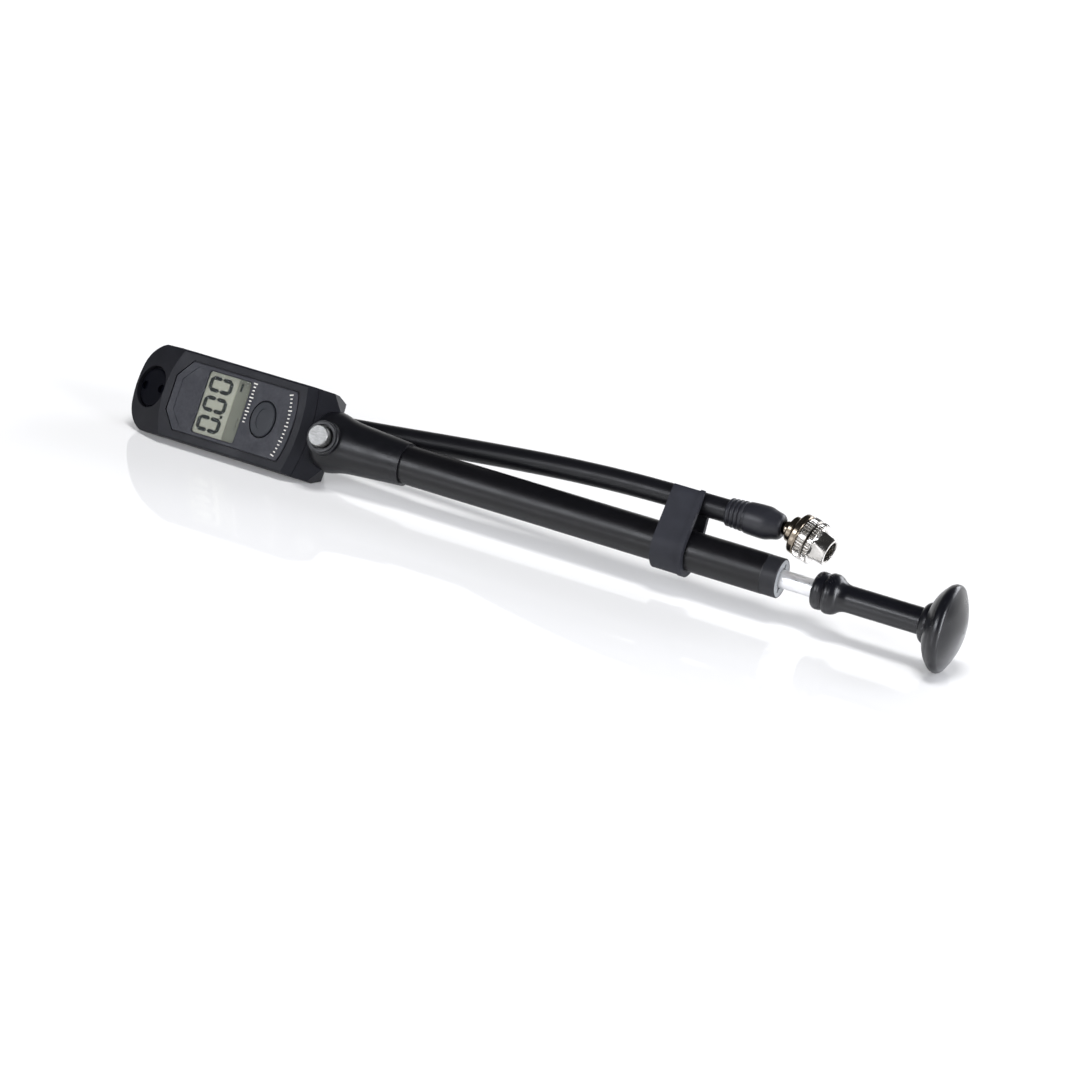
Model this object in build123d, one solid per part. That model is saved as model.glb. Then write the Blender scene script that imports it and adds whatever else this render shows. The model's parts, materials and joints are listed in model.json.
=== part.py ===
from build123d import *
from math import asin, cos, pi, radians, sin, tan
import os

# A digital shock-suspension pump: a long barrel with a gauge head on one end, a palm handle on
# the other, and a high-pressure hose that swings out of a rubber clip.
#
# The pieces are drawn in the bench frame, as the pump lies on its back (mm):
#   X  along the barrel's axis, towards the knob; 0 is about the middle of the pump
#   Y  across the gauge head, towards the hose
#   Z  out of the gauge face; the barrel's axis is Y = 0, Z = 0
# main() then turns each piece into the frame of the finished part: +Z up, the pump lying on
# the tapered side of its head and on the knob's rim, centred over the origin.

# ---- driving dimensions (mm) ----
LEAN = 22.0                 # the face leans back by this angle when the pump lies down

BARREL_R = 7.5
BARREL_BORE_R = 6.5
BARREL_START = -84.0        # inner end, screwed into the valve body
BARREL_END = 88.1
CAP_END = 93.9

ROD_R = 3.4
PISTON_START = -71.3        # the piston stops just short of the valve when the pump is shut
PISTON_LENGTH = 10.0
GROOVE_START = PISTON_START + 3.8
GROOVE_END = PISTON_START + 6.2
KNOB_R = 16.2
COLLAR_START = 106.8        # back face of the grip
GRIP_END = 147.5
KNOB_TIP = 163.0

FACE_Z = 9.2                # bezel plane
SPLIT_Z = 0.7               # parting plane of the two housing halves
HEAD_END = -184.0
HEAD_NECK = -93.5
HEEL_X = -99.6              # the neck end slopes back to here at the head's back
# Half the head's width, so that its tapered side is as far from the axis as the knob's rim.
HEAD_HALF = KNOB_R / cos(radians(LEAN)) + SPLIT_Z * tan(radians(LEAN))
BACK_Z = -12.0
WALL = 2.0
SEAM_GAP = 0.18             # shadow line between cover and neck block
PLATE_GAP = 0.4             # groove round the face plate
PLATE_TOP = 9.45
PLATE_BED = 8.2
FACET_ANGLE = 23.0          # slope of the end that carries the swivel plug

BLEED_X = -93.0
BLEED_STEM_R = 1.0
SENSOR_X = -107.3
BUTTON_X = -121.2
CELL_X = -140.0
SCREW_SPOTS = [(-158.0, 9.0), (-158.0, -9.0), (-114.5, 9.0), (-114.5, -9.0)]

SWIVEL_X = -172.0
HOSE_R = 4.35
HOSE_BORE_R = 1.6
HOSE_Z = -17.6              # the hose's level where it leaves the swivel
HOSE_CLEAR = 17.8           # barrel axis to hose axis at the clip

CLIP_START = 45.6
CLIP_END = 58.1
BOOT_START = 67.0
BOOT_END = 88.8

CHUCK_AT = (95.6, 17.33)    # the middle of the chuck's back disc
CHUCK_TILT = -15.0          # the chuck droops towards the barrel
VALVE_R = 3.87              # wall of the mouth that takes a valve stem of 7.7 mm
MOUTH_START = 8.35          # inner end of the mouth's wall, along the chuck's axis

RUNNING = 0.05              # radial clearance of shafts and other running fits
CLEAR = 0.3                 # gap between other moving surfaces

# Centre line of the hose, from the swivel's ferrule to its end inside the boot.
HOSE_ROUTE = [
    (-163.5, 0.87, -17.6),
    (-141.0, 3.2, -17.7),
    (-112.0, 6.5, -17.8),
    (-84.0, 9.1, -16.6),
    (-56.0, 11.8, -12.9),
    (-28.0, 14.2, -8.3),
    (0.0, 16.3, -4.2),
    (26.0, 17.5, -1.4),
    (52.0, 17.8, 0.1),
    (80.0, 17.75, 0.0),
]


BASE = (Align.CENTER, Align.CENTER, Align.MIN)


# ---- helpers ----
def face_of(*edges):
    """A face in the bench XZ plane (x, radius) from a closed run of edges."""
    return Plane.XZ * make_face(Curve() + list(edges))


def lathe(points):
    """A body turned about the barrel's axis from (x, radius) corners."""
    return revolve(Plane.XZ * make_face(Polyline(*points, close=True)), Axis.X)


def tube(start, end, outer, inner=0.0):
    """A straight round bar or tube on the barrel's axis."""
    body = Pos(start, 0, 0) * Rot(0, 90, 0) * Cylinder(outer, end - start, align=BASE)
    if inner:
        bore = Pos(start, 0, 0) * Rot(0, 90, 0) * Cylinder(inner, end - start, align=BASE)
        body -= bore
    return body


def post(x, y, low, high, radius):
    """A round bar along Z, from low to high."""
    return Pos(x, y, low) * Cylinder(radius, high - low, align=BASE)


def block(x_range, y_range, z_range):
    """A plain box between three pairs of limits."""
    size = [high - low for low, high in (x_range, y_range, z_range)]
    low_corner = (x_range[0], y_range[0], z_range[0])
    return Pos(*low_corner) * Box(*size, align=(Align.MIN, Align.MIN, Align.MIN))


def plan_prism(face, low, high):
    """A plan-view face raised between two heights."""
    return Pos(0, 0, low) * extrude(face, high - low)


def coil(radius, wire_r, turns, height):
    """A round-wire spring along Z, standing on Z = 0."""
    rise = Helix(height / turns, height, radius)
    start = Plane(rise @ 0, z_dir=rise % 0)
    return sweep(start * Circle(wire_r), rise)


def on_chuck(shape):
    """From the chuck's own frame, X along its axis, to the bench frame."""
    return Pos(CHUCK_AT[0], CHUCK_AT[1], 0) * Rot(0, 0, CHUCK_TILT) * shape


def dome_arc(rim, tip):
    """An arc in (x, radius) from a rim point to the axis, square to the axis at the tip."""
    height = tip - rim[0]
    radius = (rim[1]**2 + height**2) / (2 * height)
    half_angle = asin(rim[1] / radius) / 2
    middle = (tip - radius * (1 - cos(half_angle)), radius * sin(half_angle))
    return ThreePointArc(rim, middle, (tip, 0))


# ---- head: shapes that both housing halves share ----
def head_outline():
    """Plan of the head: a rounded free end, straight sides, corners slanting in to the neck."""
    side = HEAD_HALF
    neck_half = 12.0
    slant_x = -97.3
    end = [
        ThreePointArc((-174.5, side), (-179.8, 14.7), (-183.3, 8.0)),
        ThreePointArc((-183.3, 8.0), (HEAD_END, 0), (-183.3, -8.0)),
        ThreePointArc((-183.3, -8.0), (-179.8, -14.7), (-174.5, -side)),
    ]
    rest = Polyline(
        (-174.5, -side), (slant_x, -side), (HEAD_NECK, -neck_half),
        (HEAD_NECK, neck_half), (slant_x, side), (-174.5, side),
    )
    return make_face(Curve() + end + [rest])


def head_section(inset=0.0):
    """Section of the head in YZ: upright sides, then a taper that the pump lies on."""
    half = HEAD_HALF - inset
    taper = tan(radians(LEAN)) * (SPLIT_Z - BACK_Z - inset)
    foot = half - taper
    low = BACK_Z + inset
    high = FACE_Z - inset
    return Polyline(
        (-half, high), (half, high), (half, SPLIT_Z), (foot, low), (-foot, low), (-half, SPLIT_Z),
        close=True,
    )


def face_arc(middle, edge, half=20.0, shift=0.0):
    """An arc across the face, through (middle, 0) and (edge, +-HEAD_HALF)."""
    sagitta = abs(middle - edge)
    radius = (HEAD_HALF**2 + sagitta**2) / (2 * sagitta)
    side = 1 if edge > middle else -1
    drop = radius - (radius**2 - half**2) ** 0.5
    rim = middle + side * drop
    return (rim + shift, half), (middle + shift, 0), (rim + shift, -half)


def bezel_face(z, left_shift, right_shift):
    """The face between its two end arcs, drawn at height z."""
    left = face_arc(-167.1, -163.0, shift=left_shift)
    right = face_arc(-105.0, -107.3, shift=right_shift)
    outline = [
        ThreePointArc(*left),
        Line(left[2], right[2]),
        ThreePointArc(*reversed(right)),
        Line(right[0], left[0]),
    ]
    return Pos(0, 0, z) * make_face(Curve() + outline)


def head_solid():
    """The whole head before it is split: prism, tapered foot and two sloping ends."""
    depth = FACE_Z - SPLIT_Z
    neck_angle = 24.0
    top = bezel_face(FACE_Z, 0, 0)
    foot = bezel_face(SPLIT_Z, -depth / tan(radians(FACET_ANGLE)), depth / tan(radians(neck_angle)))
    crown = loft([foot, top], ruled=True)
    crown += block((-195, -80), (-20, 20), (BACK_Z, SPLIT_Z))
    plan = plan_prism(head_outline(), BACK_Z, FACE_Z)
    plan = fillet(plan.edges().filter_by(Axis.Z).group_by(Axis.X)[-1], 1.0)
    section = make_face(head_section())
    bar = Pos(-195, 0, 0) * extrude(Plane.YZ * section, 120)
    bar = fillet(bar.edges().filter_by(Axis.X).group_by(Axis.Z)[0], 1.6)
    bar = fillet(bar.edges().filter_by(Axis.X).group_by(Axis.Z)[-1], 1.0)
    wedge = Polyline((HEAD_NECK, SPLIT_Z), (HEEL_X, BACK_Z), (HEEL_X, BACK_Z - 1),
                     (HEAD_NECK + 1, BACK_Z - 1), (HEAD_NECK + 1, SPLIT_Z), close=True)
    heel = extrude(Plane.XZ * make_face(wedge), 30, both=True)
    return (plan & bar & crown) - heel


def seam_tool(gap=0.0):
    """Everything on the gauge-cover side of the curved seam near the neck."""
    seam = face_arc(-100.9, -103.2, shift=-gap)
    outline = [
        ThreePointArc(*reversed(seam)),
        Polyline(seam[0], (-200, 20), (-200, -20), seam[2]),
    ]
    return plan_prism(make_face(Curve() + outline), SPLIT_Z, FACE_Z + 5)


def neck_flare():
    """The neck: a rounded shoulder in the head, then a flare that thins towards the barrel."""
    flare = Spline(
        (-102.0, 4.0), (-99.7, 8.9), (-96.3, 11.8), (-93.0, 12.0),
        (-88.0, 10.8), (-79.0, 9.7), (-70.0, 9.0), (-61.2, 8.4),
    )
    closing = Polyline((-61.2, 8.4), (-61.2, 0), (-102.0, 0), (-102.0, 4.0))
    return revolve(face_of(flare, closing), Axis.X)


def facet_plane(offset=0.0):
    """The sloping end's plane at the plug, moved out of the head by offset."""
    plug_x = -175.0
    drop = (-167.1 - plug_x) * tan(radians(FACET_ANGLE))
    centre = Vector(plug_x, 0, FACE_Z - drop)
    normal = Vector(-sin(radians(FACET_ANGLE)), 0, cos(radians(FACET_ANGLE)))
    return Plane(centre + normal * offset, x_dir=(cos(radians(FACET_ANGLE)), 0,
                                                  sin(radians(FACET_ANGLE))), z_dir=normal)


def facet_post(low, high, radius, x=0.0):
    """A round bar square to the sloping end, between two offsets from its surface."""
    return facet_plane(low) * Pos(x, 0, 0) * Cylinder(radius, high - low, align=BASE)


def plate_outline(grow=0.0):
    """Outline of the face plate: chamfered at the free end, an arc towards the neck."""
    left = -163.3 - grow
    half = 14.0 + grow
    step = 7.0 + grow * 0.4
    corner_x = -158.0
    right_x = -110.4
    right_mid = -108.1 + grow
    edges = [
        Polyline((right_x + grow, half), (corner_x, half), (left, step),
                 (left, -step), (corner_x, -half), (right_x + grow, -half)),
        ThreePointArc((right_x + grow, -half), (right_mid, 0), (right_x + grow, half)),
    ]
    return make_face(Curve() + edges)


def valve_heart():
    """The solid envelope of the valve body: neck flare, bleed boss and inner block."""
    boss_r = 6.75
    boss_top = 12.4
    boss = post(BLEED_X, 0, 0, boss_top, boss_r)
    envelope = neck_flare() + chamfer(boss.edges().group_by(Axis.Z)[-1], 0.35)
    envelope += block((-111.0, -97.0), (-6.0, 6.0), (-8.0, 5.0))
    return envelope


# ---- head: pieces ----
def housing_cavity():
    """The room inside the two halves: electronics above, coin cell below."""
    narrow = HEAD_HALF - WALL - 1.9
    room = block((-162.0, -111.0), (-15.75, 15.75), (3.0, FACE_Z - WALL))
    room += block((-162.0, -111.0), (-narrow, narrow), (SPLIT_Z - 2.0, 3.0))
    low_section = make_face(head_section(inset=WALL))
    low_room = Pos(-162.0, 0, 0) * extrude(Plane.YZ * low_section, 51.0)
    room += low_room & block((-162.0, -111.0), (-20, 20), (BACK_Z + WALL, SPLIT_Z))
    return room


def screw_columns(low, high):
    """The four posts that the housing screws run through."""
    column_r = 2.3
    posts = [post(x, y, low, high, column_r) for x, y in SCREW_SPOTS]
    return posts[0] + posts[1:]


def gauge_cover():
    """Front half of the head, with the bed for the face plate and the display window."""
    cover = head_solid() & seam_tool(SEAM_GAP)
    cover -= housing_cavity()
    cover += screw_columns(SPLIT_Z, FACE_Z - WALL) & block((-165, -105), (-17, 17), (0, FACE_Z))
    cover -= plan_prism(plate_outline(PLATE_GAP), PLATE_BED, FACE_Z + 1)
    cover -= block((-150.3, -130.5), (-12.7, 12.7), (0, FACE_Z))
    cover -= plan_prism(Pos(BUTTON_X, 0) * Ellipse(5.8, 7.8), 0, FACE_Z)
    cover -= facet_post(-3.2, 6, 8.6)
    cover -= swivel_envelope()
    cover -= valve_heart()
    cover -= post(SENSOR_X, 0, 0, 7.1, 3.1)
    cover -= post(BLEED_X, 0, 0, 14, 7.0)
    pilot_r = 0.8
    for x, y in SCREW_SPOTS:
        cover -= post(x, y, 0, 6.0, pilot_r)
    return largest(cover)


def largest(shape):
    """The biggest solid of a cut, leaving off any crumb."""
    return shape.solids().sort_by(SortBy.VOLUME)[-1]


def back_housing():
    """Rear half of the head with the block round the neck, battery opening and screw bosses."""
    shell = head_solid()
    shell -= seam_tool() & head_solid()
    shell -= housing_cavity()
    shell += screw_columns(BACK_Z + 0.5, SPLIT_Z)
    shell -= valve_heart()
    shell -= swivel_envelope()
    shell -= facet_post(-3.2, 6, 8.6)
    door_r = 11.0
    cell_r = 10.15
    shell -= post(CELL_X, 0, BACK_Z, BACK_Z + 1.3, door_r)
    shell -= post(CELL_X, 0, BACK_Z, 0, cell_r + CLEAR)
    head_r = 1.9
    shank_r = 1.05
    for x, y in SCREW_SPOTS:
        shell -= post(x, y, BACK_Z - 1, BACK_Z + 1.8, head_r + 0.15)
        shell -= post(x, y, BACK_Z, SPLIT_Z + 1, shank_r)
    return largest(shell)


def housing_screws():
    """Four pan-head screws from the back, each with a cross slot."""
    screws = []
    for x, y in SCREW_SPOTS:
        screw = post(x, y, BACK_Z + 0.3, BACK_Z + 1.8, 1.9)
        screw += post(x, y, BACK_Z + 1.8, 5.6, 0.8)
        slot = block((-1.2, 1.2), (-0.25, 0.25), (0, 0.7))
        slot += block((-0.25, 0.25), (-1.2, 1.2), (0, 0.7))
        screw -= Pos(x, y, BACK_Z + 0.3) * slot
        screws.append(screw)
    return Compound(screws)


def face_plate():
    """Textured plate on the face with display window, mode-button hole and a stepped border."""
    plate = plan_prism(plate_outline(), PLATE_BED, PLATE_TOP)
    neck_corners = plate.edges().filter_by(Axis.Z).group_by(Axis.X)[-1]
    plate = fillet(neck_corners, 1.3)
    rim = plate.edges().filter_by(lambda e: e.center().Z > PLATE_TOP - 0.01)
    plate = chamfer(rim, 0.3)
    window = Pos(-140.35, 0) * RectangleRounded(19.3, 24.9, 1.2)
    plate -= plan_prism(window, PLATE_BED - 1, PLATE_TOP + 1)
    rim = plate.edges().group_by(Axis.Z)[-1]
    plate = chamfer(rim.filter_by(lambda e: abs(e.center().Y) < 12.6 and -151 < e.center().X < -129), 0.35)
    plate -= plan_prism(Pos(BUTTON_X, 0) * Ellipse(5.6, 7.55), PLATE_BED - 1, PLATE_TOP + 1)
    step = Polyline((-152.2, 12.7), (-155.0, 12.7), (-160.3, 6.2), (-160.3, -6.2),
                    (-155.0, -12.7), (-152.2, -12.7), close=True)
    plate -= plan_prism(make_face(step), PLATE_TOP - 0.25, PLATE_TOP + 1)
    return plate


def display_window():
    """Clear window in the face plate."""
    pane = Pos(-140.35, 0) * RectangleRounded(19.1, 24.7, 1.1)
    return plan_prism(pane, PLATE_BED + 0.05, PLATE_TOP - 0.15)


def display_panel():
    """Liquid-crystal panel under the window."""
    return block((-150.0, -130.8), (-12.45, 12.45), (5.6, PLATE_BED))


def display_connectors():
    """Two rubber contact strips between the panel and the board."""
    strips = [block((-149.5, -147.7), (-11, 11), (4.2, 5.6)),
              block((-133.1, -131.3), (-11, 11), (4.2, 5.6))]
    return Compound(strips)


def circuit_board():
    """Board under the display, notched at its four corners."""
    board = block((-154.5, -117.5), (-14.9, 14.9), (3.0, 4.2))
    for x in (-154.5, -117.5):
        for y in (-14.9, 14.9):
            board -= post(x, y, 2.5, 5.0, 2.0)
    return board


def mode_switch():
    """Small push switch on the board under the mode button."""
    switch = block((BUTTON_X - 3, BUTTON_X + 3), (-3, 3), (4.2, 4.8))
    return switch + post(BUTTON_X, 0, 4.8, 5.1, 1.6)


def mode_button():
    """Oval rubber button with a dished middle; its flange sits behind the cover."""
    cap = plan_prism(Ellipse(5.15, 7.1), 7.1, 9.95)
    top_rim = cap.edges().filter_by(lambda e: e.center().Z > 9.9)
    cap = fillet(top_rim, 0.5)
    cap -= plan_prism(Ellipse(2.5, 4.3), 9.65, 10.2)
    cap += plan_prism(Ellipse(6.5, 8.5), 6.3, 7.1)
    cap += Pos(0, 0, 5.8) * Cylinder(1.5, 0.6, align=BASE)
    return Pos(BUTTON_X, 0, 0) * cap


def pressure_sensor():
    """Sensor can screwed on top of the valve block, with its port."""
    can = post(SENSOR_X, 0, 5.0, 6.9, 2.8)
    return can + post(SENSOR_X, 0, 2.5, 5.0, 1.0)


def coin_cell():
    """Lithium coin cell, 20 mm by 3.2 mm."""
    cell = post(CELL_X, 0, -9.5, -6.3, 10.0)
    return cell + post(CELL_X, 0, -6.3, -6.1, 8.6)


def battery_contact():
    """Spring strip from the cell's inner face up to the board."""
    strip = block((-152.0, -128.0), (3.0, 7.0), (-6.0, -5.5))
    strip += block((-152.0, -151.5), (3.0, 7.0), (-6.0, 3.0))
    strip += block((-128.5, -128.0), (3.0, 7.0), (-6.0, 3.0))
    return strip


def battery_door():
    """Round quarter-turn door with a coin slot."""
    door = post(CELL_X, 0, BACK_Z + 0.05, BACK_Z + 1.2, 10.7)
    door += post(CELL_X, 0, BACK_Z + 1.2, -9.9, 9.6)
    slot = block((-6.0, 6.0), (-0.9, 0.9), (BACK_Z, BACK_Z + 0.8))
    return door - Pos(CELL_X, 0, 0) * slot


def door_seal():
    """Rubber ring on the door's spigot."""
    ring = post(CELL_X, 0, -10.75, -10.05, 10.1)
    return ring - post(CELL_X, 0, -11, -9, 9.65)


def swivel_envelope():
    """Outside of the metal block that holds the hose swivel."""
    envelope = post(SWIVEL_X, 0, BACK_Z, -0.6, 7.0)
    envelope += post(SWIVEL_X, 0, BACK_Z - 0.9, BACK_Z, 5.4)
    return envelope + block((SWIVEL_X, -160.5), (-3.5, 3.5), (-4.5, 1.5))


def swivel_block():
    """Metal block at the free end: it takes the air pipe, the banjo bolt and the end plug."""
    body = swivel_envelope()
    body -= post(SWIVEL_X, 0, BACK_Z - 1, -3.0, 3.0)
    body -= post(SWIVEL_X, 0, -3.1, -1.5, 1.2)
    body -= tube_at(-1.5, -172.5, -165.0, 0.8)
    body -= tube_at(-1.5, -165.0, -160.0, 1.5)
    return body


def tube_at(height, start, end, outer, inner=0.0):
    """A bar or tube along X at a height above the barrel's axis."""
    return Pos(0, 0, height) * tube(start, end, outer, inner)


def end_plug():
    """Round plug sunk in the sloping end, with two holes for a pin spanner."""
    plug = facet_post(-3.1, -1.0, 7.75)
    plug = fillet(plug.edges().sort_by(facet_axis())[-1], 0.6)
    for x in (-5.3, 5.3):
        plug -= facet_post(-2.4, 1.0, 1.8, x)
    return plug


def facet_axis():
    """The direction out of the sloping end, for sorting."""
    plane = facet_plane()
    return Axis(plane.origin, plane.z_dir)


def air_pipe():
    """Steel pipe that carries air along the head, below the board."""
    return tube_at(-1.5, -165.0, -108.5, 1.5, 0.8)


# ---- valve body and barrel ----
def valve_body():
    """Cast neck: barrel socket, check-valve bore, bleed bore, sensor port and pipe socket."""
    body = valve_heart()
    body -= tube(BARREL_START, -60.0, BARREL_R)
    body -= tube(-86.0, BARREL_START, 4.5)
    body -= tube(-92.0, -86.0, 2.4)
    body -= tube(-105.5, -92.0, 1.3)
    body -= tube_at(-1.5, -112.0, -108.5, 1.5)
    body -= tube_at(-1.5, -108.5, -104.5, 0.8)
    body -= post(BLEED_X, 0, 8.6, 13.0, 4.4)
    body -= post(BLEED_X, 0, 4.6, 8.6, 3.2)
    body -= post(BLEED_X, 0, 0.0, 4.6, 1.6)
    body -= post(SENSOR_X, 0, 2.5, 5.2, 1.0)
    return body - post(SENSOR_X, 0, -1.5, 2.6, 0.8)


def check_valve_seat():
    """Screwed-in seat at the end of the barrel."""
    return tube(-86.0, BARREL_START, 4.5, 1.0)


def check_ball():
    """Ball that the seat's mouth stops."""
    return Pos(-87.5, 0, 0) * Sphere(1.75)


def check_spring():
    """Light spring that holds the ball on its seat."""
    return Pos(-91.9, 0, 0) * Rot(0, 90, 0) * Pos(0, 0, 0.2) * coil(1.7, 0.2, 4, 2.3)


def bleed_ring():
    """Rounded ring round the bleed button, pressed on the boss."""
    ring = post(BLEED_X, 0, 12.4, 13.2, 6.1) - post(BLEED_X, 0, 12.0, 14.0, 4.7)
    return fillet(ring.edges().filter_by(lambda e: e.center().Z > 13.1), 0.25)


def bleed_button():
    """Brushed metal bleed button on its valve stem."""
    cap = post(BLEED_X, 0, 11.0, 16.4, 4.1)
    cap = chamfer(cap.edges().filter_by(lambda e: e.center().Z > 16.3), 0.35)
    return cap + post(BLEED_X, 0, 2.2, 11.0, BLEED_STEM_R)


def bleed_spring():
    """Spring that pushes the bleed button out."""
    return Pos(BLEED_X, 0, 4.95) * coil(2.4, 0.3, 5, 5.7)


def bleed_seal():
    """Rubber ring that the bleed stem runs in."""
    return post(BLEED_X, 0, 3.4, 4.6, 1.6) - post(BLEED_X, 0, 3.0, 5.0, BLEED_STEM_R + RUNNING)


def barrel():
    """Anodised pump tube."""
    pipe = tube(BARREL_START, BARREL_END, BARREL_R, BARREL_BORE_R)
    rim = pipe.edges().filter_by(GeomType.CIRCLE).filter_by(
        lambda e: e.center().X > BARREL_END - 0.1 and e.radius > 7)
    return chamfer(rim, 0.25)


def end_cap():
    """Ring nut on the barrel's mouth that keeps the rod guide in."""
    outer_r = 7.4
    ring = tube(BARREL_END, CAP_END, outer_r, 6.9)
    rim = ring.edges().filter_by(GeomType.CIRCLE).filter_by(
        lambda e: e.center().X > CAP_END - 0.1 and e.radius > 7)
    return chamfer(rim, 0.3)


def rod_guide():
    """Guide bush in the barrel's mouth, with a dark well round the rod and two spanner slots."""
    bush = tube(79.0, BARREL_END, BARREL_BORE_R) + tube(BARREL_END, CAP_END - 0.1, 6.9)
    bush -= tube(78.0, 95.0, ROD_R + RUNNING)
    bush -= tube(89.6, 91.4, 4.8)
    bush -= tube(91.4, 95.0, 3.95)
    for low, high in ((-5.4, -3.6), (3.6, 5.4)):
        bush -= block((92.6, 95.0), (low, high), (-0.7, 0.7))
    return bush


def rod_wiper():
    """Rubber lip seal round the rod."""
    return tube(89.6, 91.4, 4.8, ROD_R + RUNNING)


# ---- plunger ----
def piston():
    """Piston on the rod's end, with a groove for its seal."""
    end = PISTON_START + PISTON_LENGTH
    body = tube(PISTON_START, end, BARREL_BORE_R - RUNNING)
    body -= tube(GROOVE_START, GROOVE_END, 9.0, 5.2)
    body -= tube(PISTON_START + 1.8, end + 1.0, 2.0 + RUNNING)
    return body


def piston_seal():
    """Rubber ring in the piston's groove."""
    return tube(GROOVE_START + 0.1, GROOVE_END - 0.1, BARREL_BORE_R - 0.03, 5.2)


def piston_rod():
    """Polished rod, turned down at both ends."""
    shoulder = PISTON_START + PISTON_LENGTH + 0.1
    rod = tube(shoulder, 143.0, ROD_R)
    rod += tube(PISTON_START + 2.3, shoulder, 2.0)
    return rod + tube(143.0, 153.0, 2.5)


def grip():
    """Handle sleeve: two beads, a flare, then the straight grip tube."""
    bead = [
        Line((COLLAR_START, ROD_R), (COLLAR_START, 5.2)),
        ThreePointArc((COLLAR_START, 5.2), (107.7, 6.6), (109.5, 6.95)),
        ThreePointArc((109.5, 6.95), (110.5, 6.85), (111.2, 6.55)),
        ThreePointArc((111.2, 6.55), (112.0, 7.25), (113.6, 7.45)),
        ThreePointArc((113.6, 7.45), (115.3, 7.15), (116.7, 6.2)),
        ThreePointArc((116.7, 6.2), (118.3, 5.3), (120.4, 4.95)),
    ]
    tail = Polyline((120.4, 4.95), (GRIP_END, 4.95), (GRIP_END, 2.5), (143.0, 2.5),
                    (143.0, ROD_R), (COLLAR_START, ROD_R))
    return revolve(face_of(*bead, tail), Axis.X)


def knob():
    """Mushroom knob for the palm: shoulder ring, flared back, rounded rim and domed front."""
    rim = (156.9, KNOB_R)
    skin = [
        Line((GRIP_END, 2.5), (GRIP_END, 5.0)),
        ThreePointArc((GRIP_END, 5.0), (148.4, 6.8), (149.8, 7.6)),
        Line((149.8, 7.6), (150.3, 7.6)),
        ThreePointArc((150.3, 7.6), (151.8, 11.6), (154.3, 14.9)),
        TangentArc(rim, (154.3, 14.9), tangent=(-1, 0)),
        TangentArc(rim, (158.9, 14.8), tangent=(1, 0)),
        dome_arc((158.9, 14.8), KNOB_TIP),
    ]
    inside = Polyline((KNOB_TIP, 0), (153.0, 0), (153.0, 2.5), (GRIP_END, 2.5))
    return revolve(face_of(*skin, inside), Axis.X)


# ---- hose and swivel ----
def on_swivel(shape):
    """From a frame with X along the hose's first run to the bench frame."""
    start, second = HOSE_ROUTE[0], HOSE_ROUTE[1]
    heading = (second[0] - start[0], second[1] - start[1])
    angle = Vector(1, 0, 0).get_signed_angle(Vector(heading[0], heading[1], 0), Vector(0, 0, 1))
    return Pos(SWIVEL_X, 0, HOSE_Z) * Rot(0, 0, angle) * shape


def banjo_bolt():
    """Hollow bolt that the hose swivel turns on, with a six-sided head."""
    bolt = post(SWIVEL_X, 0, -22.2, -3.2, 3.0)
    head = RegularPolygon(4.6, 6, major_radius=False)
    bolt += plan_prism(Pos(SWIVEL_X, 0) * head, -24.6, -22.2)
    bolt = chamfer(bolt.edges().filter_by(lambda e: e.center().Z < -24.5), 0.5)
    return bolt - post(SWIVEL_X, 0, -17.6, -3.0, 1.2)


def banjo_seals():
    """Two washers, above and below the swivel ring."""
    washers = []
    for low, high in ((-14.0, BACK_Z - 0.9), (-22.2, -21.2)):
        washers.append(post(SWIVEL_X, 0, low, high, 5.2) - post(SWIVEL_X, 0, low - 1, high + 1, 3.0))
    return Compound(washers)


def banjo_ring():
    """Swivel ring with the spigot that the hose is crimped on."""
    half = 3.5
    ring = Pos(SWIVEL_X, 0, HOSE_Z - half) * Cylinder(6.4, 2 * half, align=BASE)
    ring = fillet(ring.edges().filter_by(GeomType.CIRCLE), 0.5)
    spigot = tube(4.0, 8.55, 3.2) + tube(8.55, 18.0, HOSE_BORE_R - 0.15)
    ring += on_swivel(spigot)
    ring -= post(SWIVEL_X, 0, -23, -12, 3.0 + RUNNING)
    return ring - on_swivel(tube(2.0, 19.0, 0.9))


def hose_ferrule():
    """Crimped sleeve over the start of the hose."""
    sleeve = tube(8.2, 20.0, 5.3, HOSE_R + 0.1)
    sleeve += tube(6.6, 8.2, 5.3, 3.25)
    for x in (11.5, 14.5):
        sleeve -= tube(x, x + 0.8, 9.0, 4.95)
    return on_swivel(sleeve)


def corner_radii(route):
    """Each arc as large as its two runs allow: 0.45 of the shorter run over tan(half turn)."""
    points = [Vector(*p) for p in route]
    radii = []
    for before, corner, after in zip(points, points[1:], points[2:]):
        turn = radians((corner - before).get_angle(after - corner))
        shorter = min((corner - before).length, (after - corner).length)
        radii.append(0.45 * shorter / tan(turn / 2))
    return radii


def hose():
    """High-pressure hose along its route."""
    radii = corner_radii(HOSE_ROUTE)
    path = FilletPolyline(*HOSE_ROUTE, radius=radii)
    section = Plane(path @ 0, z_dir=path % 0) * (Circle(HOSE_R) - Circle(HOSE_BORE_R))
    body = sweep(section, path)
    expected = pi * (HOSE_R**2 - HOSE_BORE_R**2) * path.length
    print("hose length %.1f mm, smallest arc %.0f mm, volume ratio %.4f"
          % (path.length, min(radii), body.volume / expected))
    return body


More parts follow.
